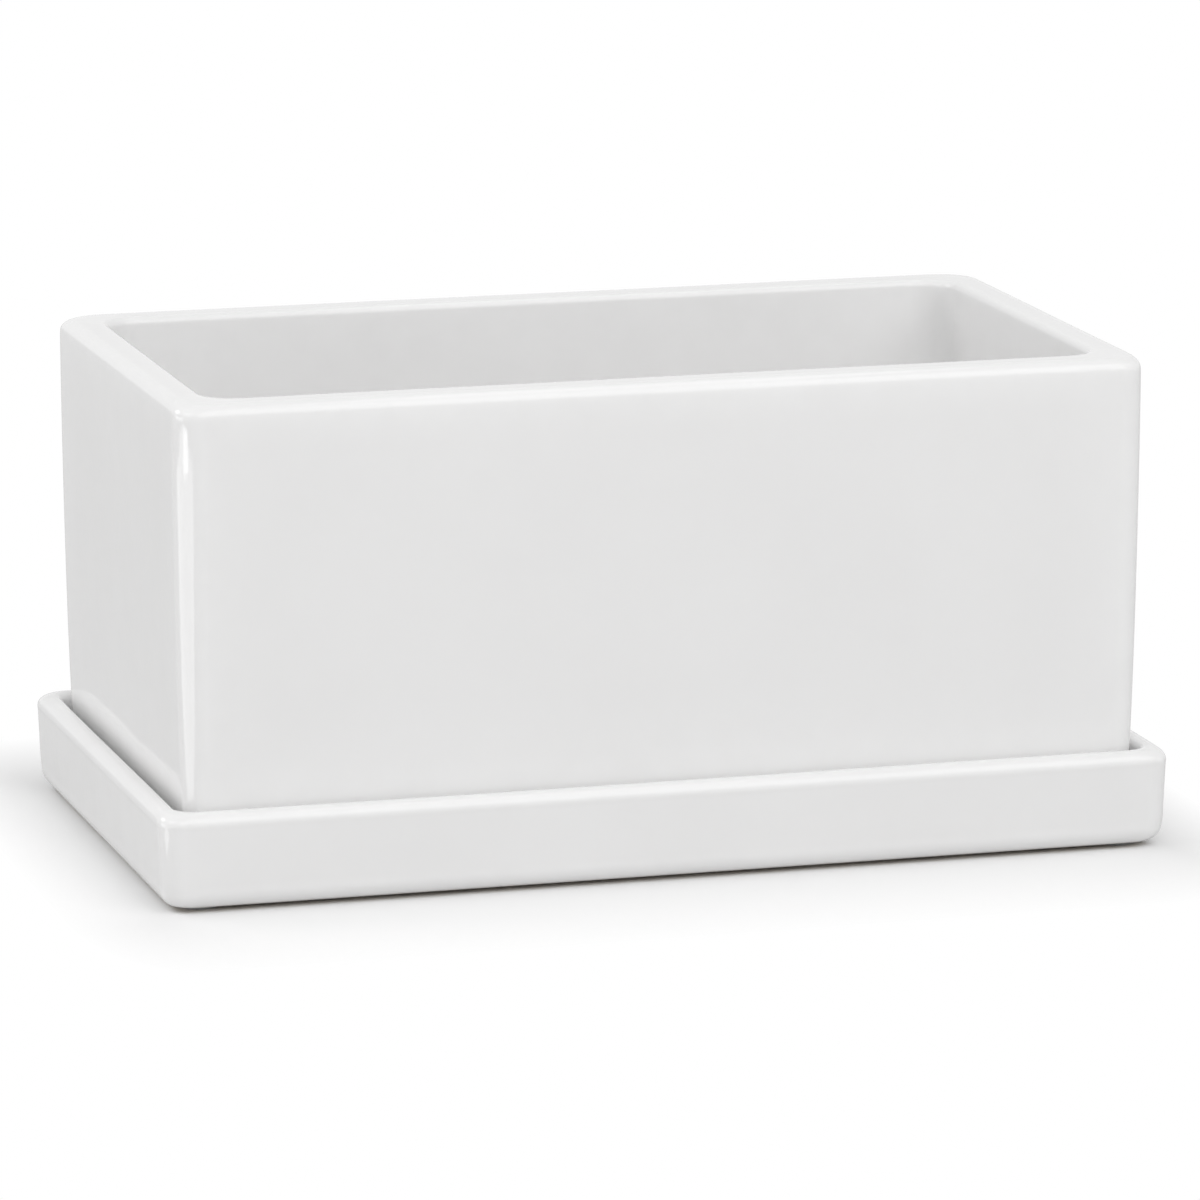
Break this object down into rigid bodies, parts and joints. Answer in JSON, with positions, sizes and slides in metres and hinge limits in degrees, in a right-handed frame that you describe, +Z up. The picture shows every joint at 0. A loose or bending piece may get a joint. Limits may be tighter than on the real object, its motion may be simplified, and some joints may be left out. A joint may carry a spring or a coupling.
{
  "type": "herb planter",
  "caption": "Rectangular glazed ceramic planter pot standing in a matching shallow drip tray, for growing herbs on a windowsill.",
  "frame": {"origin": "on the table, under the middle of the drip tray", "axes": "+Z up, +X along the long side to the right as seen from the front, +Y to the back"},
  "size_m": [0.2668, 0.1528, 0.128],
  "materials": {
    "pot_glaze": "glossy white glaze over pale stoneware",
    "tray_glaze": "glossy white glaze over pale stoneware",
    "pads": "soft matte silicone",
    "screens": "matte moulded polypropylene"
  },
  "bodies": {
    "tray": {"drip_tray": "tray_glaze", "tray_pad_front_left": "pads", "tray_pad_front_right": "pads", "tray_pad_back_left": "pads", "tray_pad_back_right": "pads"},
    "pot": {"pot": "pot_glaze"},
    "drain_screen_left": {"drain_screen_left": "screens"},
    "drain_screen_centre": {"drain_screen_centre": "screens"},
    "drain_screen_right": {"drain_screen_right": "screens"}
  },
  "joints": [
    {"name": "pot_lift", "type": "slide", "parent": "tray", "child": "pot", "axis": [0, 0, 1], "range_m": [0, 0.06]},
    {"name": "drain_screen_left_lift", "type": "slide", "parent": "pot", "child": "drain_screen_left", "axis": [0, 0, 1], "range_m": [0, 0.125]},
    {"name": "drain_screen_centre_lift", "type": "slide", "parent": "pot", "child": "drain_screen_centre", "axis": [0, 0, 1], "range_m": [0, 0.125]},
    {"name": "drain_screen_right_lift", "type": "slide", "parent": "pot", "child": "drain_screen_right", "axis": [0, 0, 1], "range_m": [0, 0.125]}
  ]
}
